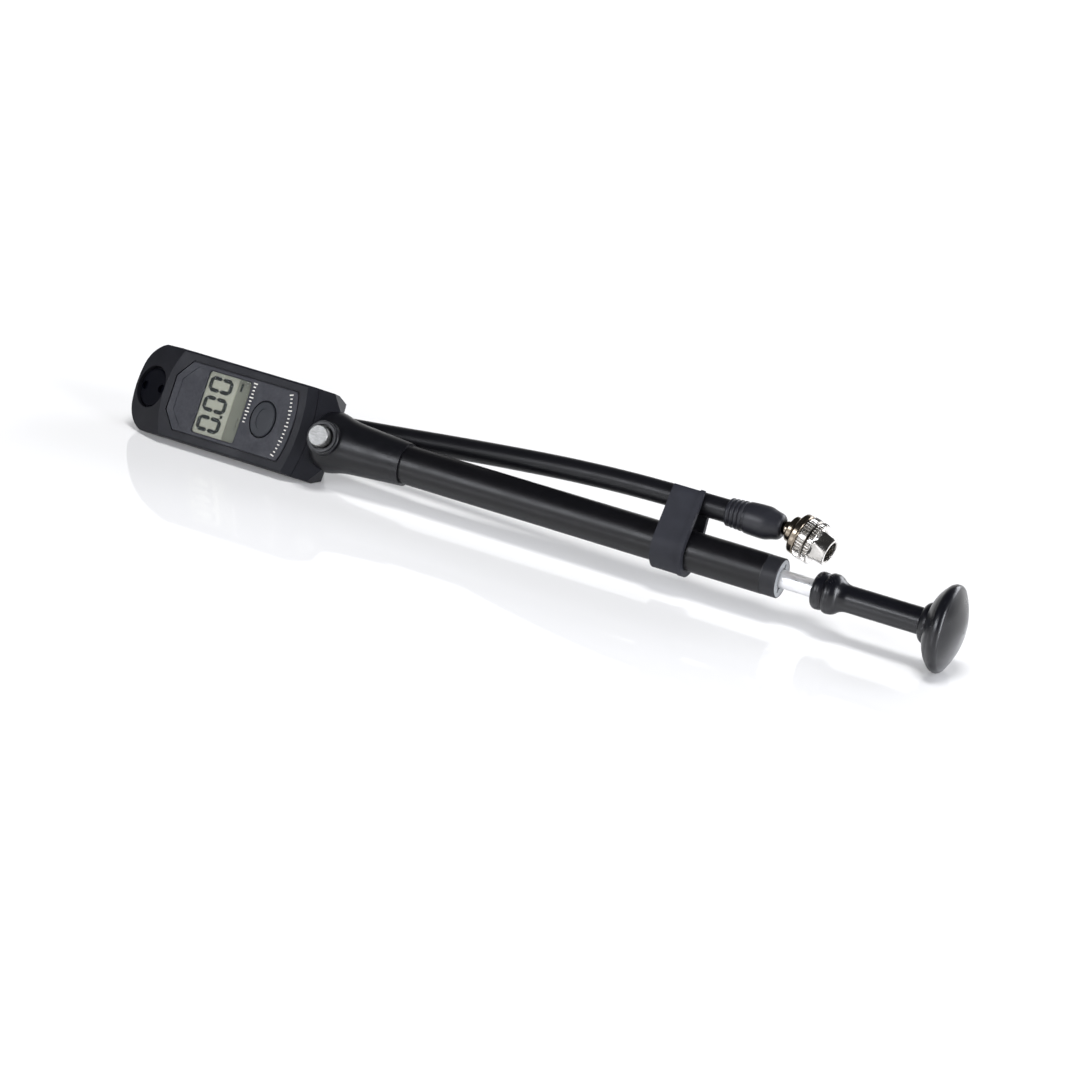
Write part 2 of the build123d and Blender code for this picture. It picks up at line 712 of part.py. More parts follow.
def hose_boot():
    """Moulded rubber boot: ribs, a smooth bulge and a taper down to the chuck's stem."""
    outline = [(BOOT_START, HOSE_R + 0.05), (BOOT_START, 4.9)]
    rib_pitch = 1.7
    for rib in range(4):
        x = BOOT_START + 0.3 + rib * rib_pitch
        r = 5.25 + 0.12 * rib
        outline += [(x, r), (x + 1.0, r), (x + 1.25, r - 0.35), (x + rib_pitch - 0.25, r - 0.3)]
    back = Polyline(*outline)
    last = outline[-1]
    bulge = [
        Line(last, (74.6, 5.85)),
        ThreePointArc((74.6, 5.85), (78.5, 6.1), (82.3, 6.15)),
        Spline((82.3, 6.15), (83.6, 5.85), (85.4, 5.25), (87.2, 4.9)),
        ThreePointArc((87.2, 4.9), (88.4, 4.3), (BOOT_END, 3.2)),
    ]
    inside = Polyline((BOOT_END, 3.2), (BOOT_END - 1.6, 2.1), (80.1, 2.1), (80.1, HOSE_R + 0.05),
                      (BOOT_START, HOSE_R + 0.05))
    return Pos(0, HOSE_CLEAR - 0.05, 0) * revolve(face_of(back, *bulge, inside), Axis.X)


# ---- chuck: X along its own axis, 0 at the middle of the back disc ----
def chuck_stem():
    """Tube from inside the boot to the ball-shaped root of the chuck."""
    stem_r = 1.75
    ball_r = 2.9
    ball_x = 90.6
    root_x = ball_x - (ball_r**2 - stem_r**2) ** 0.5
    outline = [
        Polyline((ball_x + ball_r, 0), (80.5, 0), (80.5, stem_r), (root_x, stem_r)),
        ThreePointArc((root_x, stem_r), (ball_x, ball_r), (ball_x + ball_r, 0)),
    ]
    stem = Pos(0, HOSE_CLEAR - 0.05, 0) * revolve(face_of(*outline), Axis.X)
    return stem - on_chuck(tube(-4.5, 5.0, 5.2))


def chuck_core():
    """Flange and axle that both rings of the chuck turn on."""
    flange = tube(-4.5, -1.9, 5.0)
    flange = fillet(flange.edges().filter_by(GeomType.CIRCLE), 0.8)
    core = flange + tube(-2.4, 7.0, 3.0) + tube(7.0, 7.7, 3.5)
    return on_chuck(core - tube(-2.0, 8.0, 1.05))


def chuck_wheel():
    """Knurled ring of the second stage, which drives the pin."""
    ring = tube(1.5, 4.8, 8.1, 3.0 + RUNNING)
    rims = ring.edges().filter_by(GeomType.CIRCLE).filter_by(lambda e: e.radius > 8)
    return on_chuck(chamfer(rims, 0.35))


def chuck_back_disc():
    """Smooth dark disc behind the knurled ring."""
    disc = tube(-1.4, 1.5, 7.85, 3.0 + RUNNING)
    rims = disc.edges().filter_by(GeomType.CIRCLE).filter_by(lambda e: e.radius > 7)
    return on_chuck(fillet(rims, 0.9))


def chuck_collar():
    """Nut that screws on the valve: knurled ring, six flats and the threaded mouth."""
    ring = tube(5.3, 7.5, 8.05)
    ring = chamfer(ring.edges().filter_by(GeomType.CIRCLE), 0.35)
    nose = lathe([(7.5, 0), (7.5, 6.1), (8.3, 6.1), (12.9, 5.4), (12.9, 0)])
    flats = Pos(8.6, 0, 0) * extrude(Plane.YZ * RegularPolygon(5.35, 6, major_radius=False), 6.0)
    flats += tube(5.0, 8.6, 9.0)
    body = ring + (nose & flats)
    body -= tube(5.0, 7.0, 3.0 + RUNNING)
    body -= tube(6.9, MOUTH_START, 3.5 + RUNNING)
    body -= tube(MOUTH_START, 13.0, VALVE_R)
    mouth = body.edges().filter_by(GeomType.CIRCLE).filter_by(
        lambda e: e.center().X > 12.8 and e.radius < 4)
    return on_chuck(chamfer(mouth, 0.3))


def chuck_seal():
    """Rubber ring that the valve's end presses on."""
    return on_chuck(tube(7.7, 8.3, 3.5, 1.2))


def chuck_pin():
    """Pin that opens the valve."""
    return on_chuck(tube(-0.8, 8.2, 0.8))


# ---- clip ----
def hose_clip():
    """Rubber fork on the barrel: it holds the hose and is open on the side away from the barrel."""
    barrel_out = 9.6
    hose_out = 6.35
    slot_half = 5.0
    length = CLIP_END - CLIP_START
    lip = 2.0
    top = HOSE_CLEAR + HOSE_R
    body = clip_sleeve(barrel_out, hose_out, CLIP_START, length)
    body += clip_sleeve(barrel_out + 0.3, hose_out + 0.3, CLIP_END - lip, lip)
    body &= block((CLIP_START - 1, CLIP_END + 1), (-20, top), (-20, 20))
    inner = tube(CLIP_START - 1, CLIP_END + 1, BARREL_R + RUNNING)
    channel = Polyline((0, BARREL_R), (HOSE_CLEAR - 2, slot_half), (30, slot_half),
                       (30, -slot_half), (HOSE_CLEAR - 2, -slot_half), (0, -BARREL_R), close=True)
    inner += Pos(CLIP_START - 1, 0, 0) * extrude(Plane.YZ * make_face(channel), length + 2)
    return body - inner


def clip_sleeve(barrel_out, hose_out, start, length):
    """A solid round barrel and hose, with flat sides tangent to both."""
    lean = (barrel_out - hose_out) / HOSE_CLEAR
    rise = (1 - lean**2) ** 0.5
    near = (barrel_out * lean, barrel_out * rise)
    far = (HOSE_CLEAR + hose_out * lean, hose_out * rise)
    outline = [
        ThreePointArc((near[0], near[1]), (-barrel_out, 0), (near[0], -near[1])),
        Line((near[0], -near[1]), (far[0], -far[1])),
        ThreePointArc((far[0], -far[1]), (HOSE_CLEAR + hose_out, 0), far),
        Line(far, near),
    ]
    return Pos(start, 0, 0) * extrude(Plane.YZ * make_face(Curve() + outline), length)


# ---- every piece by its name ----
CORD_PIECES = {
    "banjo_ring": banjo_ring,
    "hose_ferrule": hose_ferrule,
    "hose": hose,
    "hose_boot": hose_boot,
    "chuck_stem": chuck_stem,
    "chuck_core": chuck_core,
    "chuck_back_disc": chuck_back_disc,
    "chuck_wheel": chuck_wheel,
    "chuck_collar": chuck_collar,
    "chuck_seal": chuck_seal,
    "chuck_pin": chuck_pin,
}
PUMP_PIECES = {
    "back_housing": back_housing,
    "gauge_cover": gauge_cover,
    "housing_screws": housing_screws,
    "face_plate": face_plate,
    "display_window": display_window,
    "display_panel": display_panel,
    "display_connectors": display_connectors,
    "circuit_board": circuit_board,
    "mode_switch": mode_switch,
    "mode_button": mode_button,
    "pressure_sensor": pressure_sensor,
    "coin_cell": coin_cell,
    "battery_contact": battery_contact,
    "battery_door": battery_door,
    "door_seal": door_seal,
    "swivel_block": swivel_block,
    "end_plug": end_plug,
    "air_pipe": air_pipe,
    "valve_body": valve_body,
    "check_valve_seat": check_valve_seat,
    "check_ball": check_ball,
    "check_spring": check_spring,
    "bleed_ring": bleed_ring,
    "bleed_button": bleed_button,
    "bleed_spring": bleed_spring,
    "bleed_seal": bleed_seal,
    "barrel": barrel,
    "end_cap": end_cap,
    "rod_guide": rod_guide,
    "rod_wiper": rod_wiper,
    "piston": piston,
    "piston_seal": piston_seal,
    "piston_rod": piston_rod,
    "grip": grip,
    "knob": knob,
    "banjo_bolt": banjo_bolt,
    "banjo_seals": banjo_seals,
    "hose_clip": hose_clip,
}


def main():
    os.makedirs("parts", exist_ok=True)
    turn = Rot(90 - LEAN, 0, 0)
    pump = {name: turn * make() for name, make in PUMP_PIECES.items()}
    cord = {name: turn * make() for name, make in CORD_PIECES.items()}
    boxes = [piece.bounding_box() for piece in pump.values()]
    low = [min(getattr(box.min, axis) for box in boxes) for axis in "XYZ"]
    high = [max(getattr(box.max, axis) for box in boxes) for axis in "XYZ"]
    shift = Pos(-(low[0] + high[0]) / 2, -(low[1] + high[1]) / 2, -low[2])
    print("bench origin moved to", shift.position)
    for name, piece in {**pump, **cord}.items():
        export_step(shift * piece, "parts/%s.step" % name)


main()
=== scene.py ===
"""Looks of a digital suspension pump: camera, light, finishes and fine pieces on its frame."""

import json
from math import cos, pi, radians, sin

import bmesh
import bpy
from mathutils import Matrix, Vector


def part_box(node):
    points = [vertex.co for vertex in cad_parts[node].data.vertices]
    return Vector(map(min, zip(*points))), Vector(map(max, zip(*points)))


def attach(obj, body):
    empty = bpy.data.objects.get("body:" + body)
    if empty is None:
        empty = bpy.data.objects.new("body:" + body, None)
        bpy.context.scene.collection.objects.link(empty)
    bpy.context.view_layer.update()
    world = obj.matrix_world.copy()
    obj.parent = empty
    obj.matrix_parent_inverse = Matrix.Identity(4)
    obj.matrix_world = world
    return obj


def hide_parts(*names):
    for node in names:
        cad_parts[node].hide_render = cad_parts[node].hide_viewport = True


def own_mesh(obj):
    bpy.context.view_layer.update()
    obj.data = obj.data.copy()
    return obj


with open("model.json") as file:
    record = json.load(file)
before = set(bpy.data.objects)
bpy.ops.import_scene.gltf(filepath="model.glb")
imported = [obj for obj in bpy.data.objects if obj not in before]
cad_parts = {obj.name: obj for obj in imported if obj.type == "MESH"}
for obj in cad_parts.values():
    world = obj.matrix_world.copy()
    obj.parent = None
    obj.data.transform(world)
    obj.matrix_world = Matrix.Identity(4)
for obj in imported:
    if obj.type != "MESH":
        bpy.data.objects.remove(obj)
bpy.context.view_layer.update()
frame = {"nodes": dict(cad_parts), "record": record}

# ---- the bench frame: millimetres, X along the barrel, Y towards the hose, Z out of the face ----
MM = 0.001
LEAN = radians(22.0)            # the face leans back by this angle as the pump lies
BARREL_START = -84.0            # the barrel's inner end on the bench
barrel_low, barrel_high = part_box("barrel")
AXIS = (barrel_low + barrel_high) / 2
BENCH = (Matrix.Translation((barrel_low.x - BARREL_START * MM, AXIS.y, AXIS.z))
         @ Matrix.Rotation(pi / 2 - LEAN, 4, "X") @ Matrix.Scale(MM, 4))

# ---- sizes shared with the frame (mm) ----
PLATE_TOP = 9.45
PANEL_TOP = 8.2
BAND_X = -136.6                 # where the display's status band starts
HOSE_R = 4.35
HOSE_CLEAR = 17.8
BOOT_START = 67.0
BOOT_END = 88.8
KNURL_TEETH = 42                # on the opener ring and on the coupling nut
KNURL_DEPTH = 0.8
KNURL_STEPS = 8                 # points round each tooth
CHUCK = (Matrix.Translation((95.6, 17.33, 0)) @ Matrix.Rotation(radians(-15.0), 4, "Z"))
SHARP = radians(32.0)           # edges that turn by more than this stay crisp

# Control points of the hose's line, from the ferrule to its end inside the boot (row frame, m).
HOSE_ROUTE = [
    (-0.1530, 0.012777, 0.010414),
    (-0.1305, 0.013743, 0.012536),
    (-0.1015, 0.015072, 0.015559),
    (-0.0735, 0.014933, 0.018419),
    (-0.0455, 0.012514, 0.022308),
    (-0.0175, 0.009148, 0.026257),
    (0.0105, 0.006133, 0.029740),
    (0.0365, 0.003987, 0.031901),
    (0.0625, 0.002708, 0.032741),
    (0.0905, 0.002782, 0.032658),
]


# ---- camera and light ----
COOL_WHITE = (0.96, 0.98, 1.04)


def direction(azimuth, elevation):
    """A unit vector, turned by the azimuth from the front towards the knob, and raised."""
    level = cos(elevation)
    return Vector((sin(azimuth) * level, -cos(azimuth) * level, sin(elevation)))


def camera():
    """A long lens 18 degrees above the floor, to the right of the middle, and rolled."""
    azimuth, elevation, roll = radians(23.2), radians(18.03), radians(17.2)
    distance = 1004.8 * MM
    below_axis = 12.4 * MM
    back = direction(azimuth, elevation)
    along = Vector((1, 0, 0))
    along = (along - back * along.dot(back)).normalized()
    down = along.cross(back)
    right = along * cos(roll) - down * sin(roll)
    up = back.cross(right)
    target = BENCH @ Vector((0, 0, 0)) + down * below_axis
    data = bpy.data.cameras.new("camera")
    data.lens = 90
    data.sensor_width = 36
    data.clip_start = 0.01
    data.clip_end = 60
    cam = bpy.data.objects.new("camera", data)
    bpy.context.scene.collection.objects.link(cam)
    cam.matrix_world = Matrix.Translation(target + back * distance) @ Matrix(
        (right, up, back)).transposed().to_4x4()
    bpy.context.scene.camera = cam


def softbox(name, azimuth, elevation, distance, size, power, colour=(1, 1, 1), mirrored=True):
    """A rectangular area light that looks at the pump's middle.

    Glossy surfaces don't mirror it unless mirrored is set.
    """
    data = bpy.data.lights.new(name, "AREA")
    data.shape = "RECTANGLE"
    data.size, data.size_y = size
    data.energy = power
    data.color = colour
    light = bpy.data.objects.new(name, data)
    bpy.context.scene.collection.objects.link(light)
    away = direction(radians(azimuth), radians(elevation))
    light.location = AXIS + away * distance
    light.rotation_euler = away.to_track_quat("Z", "Y").to_euler()
    light.visible_glossy = mirrored


def studio():
    """Softboxes in front, beside and behind, a shadow light overhead, and a dim room."""
    softbox("key", azimuth=-24, elevation=20, distance=1.25, size=(0.72, 0.36), power=7.0,
            colour=COOL_WHITE)
    softbox("overhead", azimuth=15, elevation=84, distance=1.4, size=(0.5, 0.45), power=13.5,
            mirrored=False)
    softbox("side", azimuth=74, elevation=16, distance=1.2, size=(0.35, 0.75), power=9.0,
            colour=COOL_WHITE)
    softbox("rear", azimuth=150, elevation=26, distance=1.25, size=(1.0, 0.45), power=7.0,
            colour=COOL_WHITE)
    world = bpy.data.worlds.new("studio")
    bpy.context.scene.world = world
    world.use_nodes = True
    nodes, links = world.node_tree.nodes, world.node_tree.links
    split = nodes.new("ShaderNodeSeparateXYZ")
    links.new(nodes.new("ShaderNodeTexCoord").outputs["Generated"], split.inputs[0])

    def spread(axis, start, end, low, high):
        """The sky's brightness as it changes between two values of the direction's x, y or z."""
        node = nodes.new("ShaderNodeMapRange")
        node.inputs["From Min"].default_value = start
        node.inputs["From Max"].default_value = end
        node.inputs["To Min"].default_value = low
        node.inputs["To Max"].default_value = high
        links.new(split.outputs[axis], node.inputs["Value"])
        return node.outputs["Result"]

    def joined(operation, first, second):
        """Two brightnesses put together by this operation."""
        node = nodes.new("ShaderNodeMath")
        node.operation = operation
        links.new(first, node.inputs[0])
        links.new(second, node.inputs[1])
        return node.outputs[0]

    # Bright along the horizon, with a pale wall behind the pump, and dim everywhere above.
    horizon = spread("Z", 0.0, 0.10, 1.0, 0.04)
    behind = spread("Y", 0.45, 0.75, 0.0, 0.75)
    below_top = spread("Z", 0.35, 0.48, 1.0, 0.0)
    sky = joined("MAXIMUM", horizon, joined("MULTIPLY", behind, below_top))
    links.new(sky, nodes["Background"].inputs["Color"])


def floor():
    """A wide pale acrylic floor with a soft sheen, that brightens away from the pump."""
    half = 14.0                     # half its width, m
    near, far = 0.2, 0.8            # the brightening starts and ends this far from the middle, m
    faint, full = 0.12, 1.0         # its glow there
    bm = bmesh.new()
    bmesh.ops.create_grid(bm, x_segments=8, y_segments=8, size=half)
    mesh = bpy.data.meshes.new("floor")
    bm.to_mesh(mesh)
    bm.free()
    obj = bpy.data.objects.new("floor", mesh)
    bpy.context.scene.collection.objects.link(obj)
    finish = Finish("floor", (0.86, 0.86, 0.865), gloss=0.6)
    finish.shader.inputs["Emission Color"].default_value = (1, 1, 1, 1)
    reach = finish.nodes.new("ShaderNodeVectorMath")
    reach.operation = "LENGTH"
    finish.links.new(finish.coords, reach.inputs[0])
    glow = finish.ranged(reach.outputs["Value"], faint, full, near, far)
    finish.links.new(glow, finish.shader.inputs["Emission Strength"])
    finish.vary_roughness(9.0, 0.03, 0.06)
    mesh.materials.append(finish.material)


# ---- materials ----
class Finish:
    """A procedural material: a base colour with mottling, uneven gloss and a fine surface grain.

    gloss is how strongly the surface mirrors light: the shader's specular level.
    """

    def __init__(self, name, colour, metallic=0.0, gloss=0.5):
        self.material = bpy.data.materials.new(name)
        self.material.use_nodes = True
        self.nodes = self.material.node_tree.nodes
        self.links = self.material.node_tree.links
        self.shader = self.nodes["Principled BSDF"]
        self.colour = colour
        self.shader.inputs["Base Color"].default_value = (*colour, 1)
        self.shader.inputs["Metallic"].default_value = metallic
        self.shader.inputs["Specular IOR Level"].default_value = gloss
        self.coords = self.nodes.new("ShaderNodeTexCoord").outputs["Object"]
        self.last_normal = None

    def mapped(self, stretch):
        """Object coordinates stretched along the bench axes, so that grain can run one way."""
        turn = self.nodes.new("ShaderNodeMapping")
        turn.vector_type = "TEXTURE"
        turn.inputs["Rotation"].default_value = (pi / 2 - LEAN, 0, 0)
        turn.inputs["Location"].default_value = BENCH.translation
        turn.inputs["Scale"].default_value = stretch
        self.links.new(self.coords, turn.inputs["Vector"])
        return turn.outputs["Vector"]

    def noise(self, scale, detail, stretch=None):
        """Noise with about this many cells to a metre."""
        node = self.nodes.new("ShaderNodeTexNoise")
        node.inputs["Scale"].default_value = scale
        node.inputs["Detail"].default_value = detail
        source = self.coords if stretch is None else self.mapped(stretch)
        self.links.new(source, node.inputs["Vector"])
        return node.outputs["Fac"]

    def ranged(self, value, low, high, start=0.3, end=0.7):
        """A value between start and end, spread between low and high."""
        node = self.nodes.new("ShaderNodeMapRange")
        node.inputs["From Min"].default_value = start
        node.inputs["From Max"].default_value = end
        node.inputs["To Min"].default_value = low
        node.inputs["To Max"].default_value = high
        self.links.new(value, node.inputs["Value"])
        return node.outputs["Result"]

    def mottle(self, scale, spread, stretch=None):
        """The base colour a little lighter and darker from place to place."""
        ramp = self.nodes.new("ShaderNodeValToRGB")
        darker, lighter = ramp.color_ramp.elements
        darker.position, lighter.position = 0.3, 0.7
        darker.color = (*[c * (1 - spread) for c in self.colour], 1)
        lighter.color = (*[min(1, c * (1 + spread)) for c in self.colour], 1)
        self.links.new(self.noise(scale, 4.0, stretch), ramp.inputs["Fac"])
        self.links.new(ramp.outputs["Color"], self.shader.inputs["Base Color"])

    def vary_roughness(self, scale, low, high, stretch=None):
        """Gloss that changes softly over the surface, as handling leaves it."""
        value = self.ranged(self.noise(scale, 4.0, stretch), low, high)
        self.links.new(value, self.shader.inputs["Roughness"])

    def bump(self, height, depth):
        """A height value turned into relief this many metres deep, over any earlier relief."""
        node = self.nodes.new("ShaderNodeBump")
        node.inputs["Strength"].default_value = 1.0
        node.inputs["Distance"].default_value = depth
        self.links.new(height, node.inputs["Height"])
        if self.last_normal is not None:
            self.links.new(self.last_normal, node.inputs["Normal"])
        self.last_normal = node.outputs["Normal"]
        self.links.new(self.last_normal, self.shader.inputs["Normal"])

    def grain(self, scale, depth, stretch=None):
        """Fine even grain."""
        self.bump(self.noise(scale, 2.0, stretch), depth)

    def pebbles(self, scale, depth):
        """Spark-eroded texture: small rounded cells."""
        node = self.nodes.new("ShaderNodeTexVoronoi")
        node.inputs["Scale"].default_value = scale
        self.links.new(self.coords, node.inputs["Vector"])
        self.bump(node.outputs["Distance"], depth)


def moulded(name, colour, roughness, grain, depth, gloss=0.3):
    """Moulded plastic or rubber: slight mottling, uneven gloss and grain of this size."""
    finish = Finish(name, colour, gloss=gloss)
    finish.mottle(160, 0.10)
    finish.vary_roughness(90, roughness - 0.05, roughness + 0.06)
    finish.grain(grain, depth)
    return finish


def turned(name, colour, roughness, metallic=1.0):
    """Turned metal: fine rings round the barrel's direction and a little tarnish."""
    finish = Finish(name, colour, metallic)
    finish.mottle(240, 0.06)
    finish.vary_roughness(420, roughness * 0.75, roughness * 1.35)
    finish.grain(2600, 4e-6, (0.12, 1.0, 1.0))
    return finish


def housing():
    """Charcoal moulded plastic with a fine matte grain."""
    finish = moulded("housing", (0.0105, 0.0109, 0.0143), 0.46, 3200, 1.6e-5, 0.22)
    finish.pebbles(2100, 8e-6)
    return finish


def face_plate():
    """The plate's slightly lighter plastic, with a coarser spark-eroded texture."""
    finish = Finish("face_plate", (0.029, 0.030, 0.037), gloss=0.28)
    finish.mottle(900, 0.16)
    finish.vary_roughness(220, 0.42, 0.56)
    finish.pebbles(2600, 2.2e-5)
    return finish


def display():
    """Liquid-crystal panel: grey-green, with the darker status band on the side of the knob."""
    finish = Finish("display", (0.46, 0.43, 0.36))
    split = finish.nodes.new("ShaderNodeSeparateXYZ")
    finish.links.new(finish.coords, split.inputs[0])
    band_start = (BENCH @ Vector((BAND_X, 0, 0))).x
    blur = 0.12 * MM
    band = finish.ranged(split.outputs["X"], 0.0, 1.0, band_start - blur, band_start + blur)
    mix = finish.nodes.new("ShaderNodeMix")
    mix.data_type = "RGBA"
    mix.inputs["A"].default_value = (*finish.colour, 1)
    mix.inputs["B"].default_value = (0.205, 0.195, 0.158, 1)
    finish.links.new(band, mix.inputs["Factor"])
    cloud = finish.nodes.new("ShaderNodeMix")
    cloud.data_type = "RGBA"
    cloud.blend_type = "MULTIPLY"
    cloud.inputs["Factor"].default_value = 0.12
    finish.links.new(mix.outputs["Result"], cloud.inputs["A"])
    finish.links.new(finish.noise(260, 3.0), cloud.inputs["B"])
    finish.links.new(cloud.outputs["Result"], finish.shader.inputs["Base Color"])
    finish.vary_roughness(300, 0.5, 0.62)
    finish.grain(5200, 3e-6)
    return finish


def clear_window():
    """Clear polycarbonate: light passes straight through, with a gloss that grows to the edges."""
    finish = Finish("clear_window", (0.02, 0.02, 0.02))
    finish.vary_roughness(120, 0.03, 0.09)
    finish.grain(900, 1.5e-6)
    clear = finish.nodes.new("ShaderNodeBsdfTransparent")
    clear.inputs["Color"].default_value = (0.93, 0.95, 0.94, 1)
    facing = finish.nodes.new("ShaderNodeFresnel")
    facing.inputs["IOR"].default_value = 1.55
    # The pane's far side passes everything, or it would turn black when seen from the side.
    front_only = finish.nodes.new("ShaderNodeMath")
    front_only.operation = "SUBTRACT"
    front_only.use_clamp = True
    far_side = finish.nodes.new("ShaderNodeNewGeometry").outputs["Backfacing"]
    finish.links.new(facing.outputs["Fac"], front_only.inputs[0])
    finish.links.new(far_side, front_only.inputs[1])
    mix = finish.nodes.new("ShaderNodeMixShader")
    finish.links.new(front_only.outputs["Value"], mix.inputs["Fac"])
    finish.links.new(clear.outputs["BSDF"], mix.inputs[1])
    finish.links.new(finish.shader.outputs["BSDF"], mix.inputs[2])
    output = finish.nodes["Material Output"]
    finish.links.new(mix.outputs["Shader"], output.inputs["Surface"])
    return finish


def black_metal():
    """Satin black anodised casting with fine grain."""
    finish = Finish("black_metal", (0.0050, 0.0052, 0.0068), gloss=0.4)
    finish.mottle(300, 0.12)
    finish.vary_roughness(150, 0.30, 0.42)
    finish.pebbles(1900, 1.1e-5)
    return finish


def barrel_black():
    """Anodised tube: satin, with fine turning rings."""
    finish = Finish("barrel_black", (0.0034, 0.0033, 0.0044), gloss=0.42)
    finish.mottle(260, 0.15)
    finish.vary_roughness(110, 0.33, 0.42)
    finish.grain(3000, 1.0e-5, (0.1, 1.0, 1.0))
    finish.pebbles(1500, 3e-6)
    return finish


def brushed_button():
    """Fine brushed aluminium."""
    finish = Finish("silver_button", (0.29, 0.29, 0.283), metallic=1.0)
    finish.mottle(700, 0.16, (1.0, 0.25, 1.0))
    finish.vary_roughness(900, 0.42, 0.56)
    finish.grain(4200, 3e-6, (1.0, 0.08, 1.0))
    return finish


def board():
    """Green solder mask."""
    finish = Finish("board", (0.015, 0.10, 0.04))
    finish.mottle(1200, 0.35)
    finish.vary_roughness(700, 0.28, 0.42)
    finish.grain(2500, 5e-6)
    return finish


def finishes():
    """Every finish by the record's slot name."""
    return {
        "housing": housing(),
        "screw_steel": turned("screw_steel", (0.14, 0.14, 0.15), 0.35),
        "face_plate": face_plate(),
        "clear_window": clear_window(),
        "display": display(),
        "inner_rubber": moulded("inner_rubber", (0.016, 0.016, 0.017), 0.55, 2600, 1e-5),
        "board": board(),
        "switch_plastic": moulded("switch_plastic", (0.03, 0.03, 0.03), 0.4, 3000, 8e-6),
        "button_rubber": moulded("button_rubber", (0.0185, 0.0205, 0.0255), 0.5, 2800, 1e-5),
        "sensor_steel": turned("sensor_steel", (0.6, 0.6, 0.6), 0.3),
        "cell_steel": turned("cell_steel", (0.7, 0.7, 0.7), 0.25),
        "contact_brass": turned("contact_brass", (0.72, 0.55, 0.25), 0.3),
        "black_metal": black_metal(),
        "plug_plastic": moulded("plug_plastic", (0.0026, 0.0030, 0.0056), 0.36, 2200, 6e-6, 0.06),
        "pipe_steel": turned("pipe_steel", (0.55, 0.55, 0.55), 0.3),
        "brass_part": turned("brass_part", (0.72, 0.55, 0.25), 0.28),
        "spring_steel": turned("spring_steel", (0.6, 0.6, 0.6), 0.3),
        "silver_button": brushed_button(),
        "barrel_black": barrel_black(),
        "cap_black": moulded("cap_black", (0.0140, 0.0145, 0.0180), 0.48, 2800, 8e-6, 0.4),
        "guide_grey": moulded("guide_grey", (0.34, 0.355, 0.37), 0.45, 2400, 6e-6),
        "piston_plastic": moulded("piston_plastic", (0.72, 0.70, 0.65), 0.4, 2400, 5e-6),
        "polished_rod": turned("polished_rod", (0.92, 0.92, 0.93), 0.36, 0.75),
        "handle_black": moulded("handle_black", (0.0040, 0.0043, 0.0068), 0.31, 2300, 5e-6, 0.62),
        "clip_rubber": moulded("clip_rubber", (0.023, 0.0240, 0.031), 0.62, 2400, 1.6e-5),
        "hose_rubber": moulded("hose_rubber", (0.0056, 0.0056, 0.0074), 0.38, 2300, 9e-6, 0.34),
        "boot_rubber": moulded("boot_rubber", (0.0150, 0.0155, 0.0205), 0.42, 2000, 6e-6, 0.5),
        "nickel": turned("nickel", (0.62, 0.60, 0.57), 0.20),
        "nickel_dark": turned("nickel_dark", (0.30, 0.255, 0.20), 0.2),
    }


# ---- mesh helpers ----
def piece(name, bm, body, slot, replaces=(), place=BENCH):
    """A bmesh drawn in bench millimetres becomes a smooth-shaded piece on one body."""
    bmesh.ops.recalc_face_normals(bm, faces=bm.faces)
    bmesh.ops.transform(bm, matrix=place, verts=bm.verts)
    for face in bm.faces:
        face.smooth = True
    for edge in bm.edges:
        edge.smooth = edge.calc_face_angle(0.0) < SHARP
    mesh = bpy.data.meshes.new(name)
    bm.to_mesh(mesh)
    bm.free()
    mesh.materials.append(FINISHES[slot].material)
    obj = bpy.data.objects.new(name, mesh)
    bpy.context.scene.collection.objects.link(obj)
    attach(obj, body)
    if replaces:
        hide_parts(*replaces)
    return obj


def lathe(profile, segments, shape=None):
    """A closed surface turned about X from a closed run of (x, radius) points.

    shape(angle, x, radius) may give a point another radius.
    """
    bm = bmesh.new()
    rings = []
    for step in range(segments):
        angle = 2 * pi * step / segments
        ring = []
        for x, r in profile:
            radius = shape(angle, x, r) if shape else r
            ring.append(bm.verts.new((x, radius * cos(angle), radius * sin(angle))))
        rings.append(ring)
    count = len(profile)
    for step in range(segments):
        here, there = rings[step], rings[(step + 1) % segments]
        for k in range(count):
            after = (k + 1) % count
            bm.faces.new((here[k], here[after], there[after], there[k]))
    return bm


def add_prism(bm, outline, low, high):
    """Adds a flat plate with this (x, y) outline between two heights."""
    bottom = [bm.verts.new((x, y, low)) for x, y in outline]
    top = [bm.verts.new((x, y, high)) for x, y in outline]
    bm.faces.new(top)
    bm.faces.new(list(reversed(bottom)))
    for k in range(len(outline)):
        after = (k + 1) % len(outline)
        bm.faces.new((bottom[k], bottom[after], top[after], top[k]))


# ---- the hose and what rides on it ----
def hose():
    """The high-pressure hose: one smooth curve from the ferrule into the boot."""
    data = bpy.data.curves.new("hose_line", "CURVE")
    data.dimensions = "3D"
    spline = data.splines.new("NURBS")
    spline.points.add(len(HOSE_ROUTE) - 1)
    for point, place in zip(spline.points, HOSE_ROUTE):
        point.co = (*place, 1)
    spline.order_u = 3
    spline.use_endpoint_u = True
    spline.resolution_u = 24
    data.bevel_depth = HOSE_R * MM
    data.bevel_resolution = 10
    data.use_fill_caps = True
    data.materials.append(FINISHES["hose_rubber"].material)
    obj = bpy.data.objects.new("hose_tube", data)
    bpy.context.scene.collection.objects.link(obj)
    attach(obj, "hose_swing")
    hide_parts("hose")
    return obj


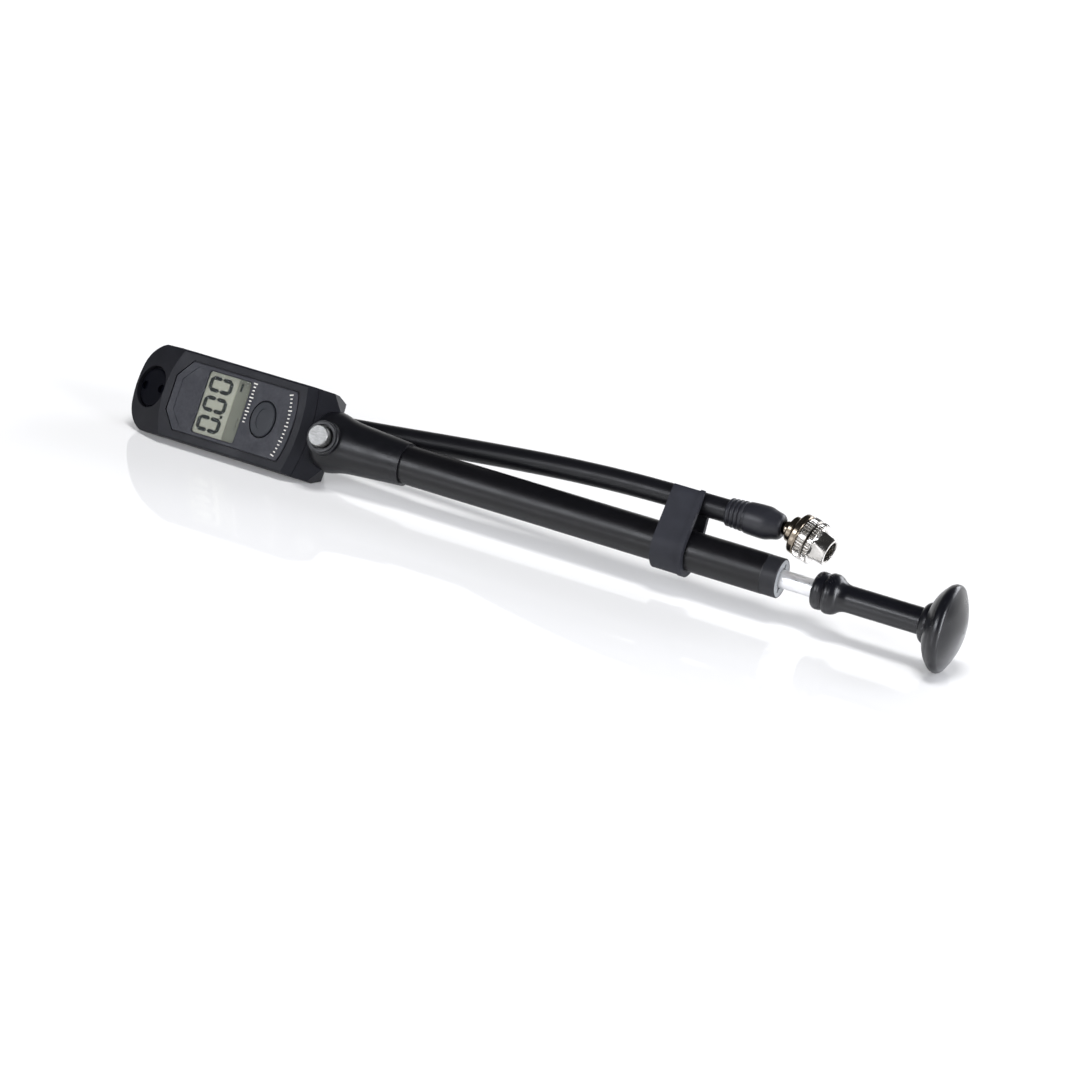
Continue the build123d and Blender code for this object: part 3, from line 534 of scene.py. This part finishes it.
def boot():
    """Moulded boot: four rounded ribs, a step, a smooth bulge and a taper that ends hollow."""
    ribs, rib_pitch, rib_height = 4, 1.7, 0.38
    first_top, top_step = 5.28, 0.12
    bore = HOSE_R + 0.06
    profile = [(BOOT_START, bore), (BOOT_START, 4.7), (BOOT_START + 0.15, 4.88)]
    for rib in range(ribs):
        start = BOOT_START + 0.3 + rib * rib_pitch
        top = first_top + top_step * rib
        groove = top - rib_height
        profile += [
            (start, groove + 0.05), (start + 0.08, top - 0.16), (start + 0.26, top - 0.03),
            (start + 0.6, top), (start + 0.94, top - 0.03), (start + 1.14, top - 0.16),
            (start + 1.24, groove + 0.05), (start + 1.42, groove),
        ]
    profile += [
        (74.3, 5.35), (74.5, 5.7), (74.9, 5.86), (76.0, 5.97), (77.3, 6.05), (78.5, 6.1),
        (79.8, 6.14), (81.0, 6.16), (82.0, 6.14), (83.0, 6.02), (84.0, 5.74), (85.0, 5.4),
        (86.0, 5.14), (87.0, 4.92), (87.8, 4.62), (88.4, 4.1), (88.68, 3.65), (BOOT_END, 3.2),
        (88.5, 2.9), (BOOT_END - 1.6, 2.15), (81.0, 2.1), (80.2, 2.15), (80.1, bore),
    ]
    place = BENCH @ Matrix.Translation((0, HOSE_CLEAR - 0.05, 0))
    return piece("boot_moulding", lathe(profile, 96), "hose_swing", "boot_rubber",
                 ["hose_boot"], place)


def knurl(start, end, outer):
    """A radius function for straight teeth with wide lands, in the rim from start to end."""
    rim = outer - 0.5
    middle, steepness = 0.75, 1.1

    def shape(angle, x, r):
        if not (start <= x <= end) or r < rim:
            return r
        land = min(1.0, max(0.0, middle + steepness * cos(KNURL_TEETH * angle)))
        return r - KNURL_DEPTH * (1 - land)
    return shape


def wheel():
    """Knurled ring of the opener."""
    outer, bore = 8.1, 3.05
    profile = [
        (1.5, bore), (1.5, 7.35), (1.62, 7.5), (1.85, 7.98), (1.95, outer), (2.6, outer),
        (3.15, outer), (3.7, outer), (4.35, outer), (4.45, 7.98), (4.68, 7.5), (4.8, 7.35),
        (4.8, bore),
    ]
    bm = lathe(profile, KNURL_TEETH * KNURL_STEPS, knurl(1.9, 4.4, outer))
    return piece("opener_wheel", bm, "opener", "nickel", ["chuck_wheel"], BENCH @ CHUCK)


def collar():
    """Coupling nut: knurled ring, six flats on a tapered nose and a threaded mouth."""
    outer, wall, apothem = 8.05, 3.87, 5.35
    ring_shape = knurl(5.6, 7.25, outer)
    nose_start, nose_end = 7.5, 12.9
    root_length, root_rise = 0.95, 0.35     # the flats run out towards the ring over this length
    inside = 4.6                            # points nearer the axis than this stay round

    def shape(angle, x, r):
        if x > nose_start + 0.02 and r > inside:
            sector = (angle + pi / 6) % (pi / 3) - pi / 6
            flat_r = apothem / cos(sector)
            if x > nose_start + root_length:
                return min(r, flat_r)
            share = (x - nose_start) / root_length
            return min(r, flat_r + (1 - share) * root_rise)
        return ring_shape(angle, x, r)

    profile = [
        (5.3, 3.1), (5.3, 7.5), (5.42, 7.62), (5.58, 7.92), (5.66, outer), (6.1, outer),
        (6.7, outer), (7.15, outer), (7.23, 7.92), (7.38, 7.62), (7.5, 7.5), (7.5, 6.12),
        (7.9, 6.12), (8.3, 6.1), (8.5, 6.07), (9.2, 5.965), (10.0, 5.845), (11.0, 5.69),
        (12.0, 5.54), (12.6, 5.45), (12.8, 5.36), (nose_end, 5.2), (nose_end, 4.2), (12.6, wall),
    ]
    thread_start, pitch, turns = 12.5, 0.79, 5
    for turn in range(turns):
        x = thread_start - turn * pitch
        profile += [(x, wall), (x - 0.22, wall), (x - 0.42, wall + 0.3), (x - 0.62, wall)]
    profile += [(8.4, wall), (8.35, 3.56), (7.0, 3.56), (7.0, 3.1)]
    bm = lathe(profile, KNURL_TEETH * KNURL_STEPS, shape)
    return piece("coupling_collar", bm, "coupling_nut", "nickel", ["chuck_collar"], BENCH @ CHUCK)


def bleed_coil():
    """The spring under the bleed button, which on the real pump shortens as the button goes down;
    here it is built at one length.
    """
    radius, wire, turns, height, foot = 2.4, 0.3, 5, 5.7, 4.95
    turn_steps, sides = 28, 10
    low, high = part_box("bleed_spring")
    middle_x = (BENCH.inverted() @ ((low + high) / 2)).x
    slope = height / (turns * 2 * pi * radius)
    steps = turns * turn_steps
    around = [2 * pi * side / sides for side in range(sides)]
    bm = bmesh.new()
    rings = []
    for step in range(steps + 1):
        angle = 2 * pi * step / turn_steps
        radial = Vector((cos(angle), sin(angle), 0))
        tangent = Vector((-sin(angle), cos(angle), slope)).normalized()
        across = tangent.cross(radial)
        centre = Vector((middle_x, 0, foot + height * step / steps)) + radial * radius
        rings.append([bm.verts.new(centre + (radial * cos(a) + across * sin(a)) * wire)
                      for a in around])
    for here, there in zip(rings, rings[1:]):
        for side in range(sides):
            after = (side + 1) % sides
            bm.faces.new((here[side], here[after], there[after], there[side]))
    bm.faces.new(list(reversed(rings[0])))
    bm.faces.new(rings[-1])
    coil = piece("bleed_coil", bm, "pump", "spring_steel", ["bleed_spring"])
    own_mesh(coil)


# ---- face details ----
def display_marks():
    """Three seven-segment noughts with a decimal point, and the status band's small marks."""
    tall, wide, thick = 9.0, 4.75, 1.6
    pitch = 7.9
    middle_x = -143.9
    dot = 1.3
    status_x, scale_x = -134.8, -132.4
    base, top = PANEL_TOP + 0.005, PANEL_TOP + 0.035
    bm = bmesh.new()

    def bar(cx, cy, length, along_x):
        """One segment with pointed ends."""
        half, tip = length / 2, thick / 2
        outline = [(-half, 0), (-half + tip, tip), (half - tip, tip), (half, 0),
                   (half - tip, -tip), (-half + tip, -tip)]
        if not along_x:
            outline = [(-v, u) for u, v in outline]
        add_prism(bm, [(cx + u, cy + v) for u, v in outline], base, top)

    for middle_y in (-pitch, 0.0, pitch):
        for side in (-1, 1):
            bar(middle_x + side * tall / 2, middle_y, wide + 0.1, False)
            for end in (-1, 1):
                bar(middle_x + end * tall / 4, middle_y + side * wide / 2, tall / 2 - 0.1, True)
    add_prism(bm, box_outline(middle_x + tall / 2 - 0.2, -pitch / 2, dot, dot), base, top)
    add_prism(bm, box_outline(status_x, 9.4, 1.0, 3.2), base, top)
    for step in range(4):
        add_prism(bm, box_outline(scale_x, -3.0 - 1.3 * step, 0.8, 0.45), base, top)
    piece("display_digits", bm, "pump", "inner_rubber")


def box_outline(x, y, length, width):
    """The corners of a rectangle centred on (x, y)."""
    half_length, half_width = length / 2, width / 2
    return [(x + u * half_length, y + v * half_width)
            for u, v in ((-1, -1), (1, -1), (1, 1), (-1, 1))]


def face_ticks():
    """Pad-printed graduation marks beside the window and round the plate's rounded end."""
    base, top = PLATE_TOP - 0.01, PLATE_TOP + 0.03
    stroke = 0.45
    long_every = 4
    bm = bmesh.new()
    row_x, row_start, row_pitch, row_count = -128.9, 12.4, 1.4, 12
    for step in range(row_count):
        length = 1.7 if step % long_every == 0 else 1.0
        add_prism(bm, box_outline(row_x, row_start - step * row_pitch, length, stroke), base, top)
    middle_x, radius, spread, gaps = -150.0, 39.4, radians(18.0), 16
    for step in range(gaps + 1):
        angle = spread * (1 - 2 * step / gaps)
        length = 1.6 if step % long_every == 0 else 0.9
        corners = box_outline(radius, 0, length, stroke)
        outline = [(middle_x + u * cos(angle) - v * sin(angle), u * sin(angle) + v * cos(angle))
                   for u, v in corners]
        add_prism(bm, outline, base, top)
    piece("face_ticks", bm, "pump", "piston_plastic")


FINISHES = finishes()


def dress_nodes():
    """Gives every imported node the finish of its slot."""
    for entry in frame["record"]["subparts"]:
        node = frame["nodes"][entry["node"]]
        node.data.materials.clear()
        node.data.materials.append(FINISHES[entry["material_slot"]].material)


camera()
hose_tube = hose()
dress_nodes()
boot_piece = boot()
wheel_piece = wheel()
collar_piece = collar()
display_marks()
face_ticks()
bleed_coil()
studio()
floor()
bpy.context.scene.view_settings.view_transform = "Standard"
